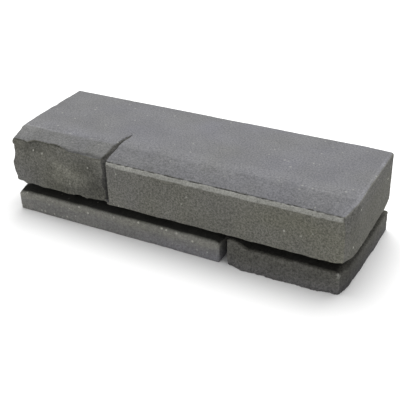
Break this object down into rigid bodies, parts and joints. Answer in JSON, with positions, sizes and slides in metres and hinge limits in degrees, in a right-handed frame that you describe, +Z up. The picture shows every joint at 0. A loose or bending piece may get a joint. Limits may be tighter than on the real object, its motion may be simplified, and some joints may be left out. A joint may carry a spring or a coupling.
{
  "type": "cast stone wall block",
  "caption": "Long cast-stone wall block that imitates dry-laid stones: a smooth and a split stone over two slabs, with deep recessed joints.",
  "frame": {"origin": "middle of the base of the whole block, on the surface it stands on", "axes": "+X along the block's length, -Y out of the show face, +Z up, from the slabs to the weathered top"},
  "size_m": [0.6, 0.2126, 0.143],
  "materials": {
    "upper_concrete": "matte, sandy, fine grained",
    "slab_concrete": "matte, sandy, worn arrises",
    "split_concrete": "matte, split face",
    "joint_mortar": "matte, rough, recessed"
  },
  "bodies": {
    "root": {"upper_stone": "upper_concrete", "lower_left_slab": "slab_concrete", "lower_right_slab": "split_concrete", "bed_mortar": "joint_mortar", "perpend_mortar": "joint_mortar"}
  },
  "joints": []
}
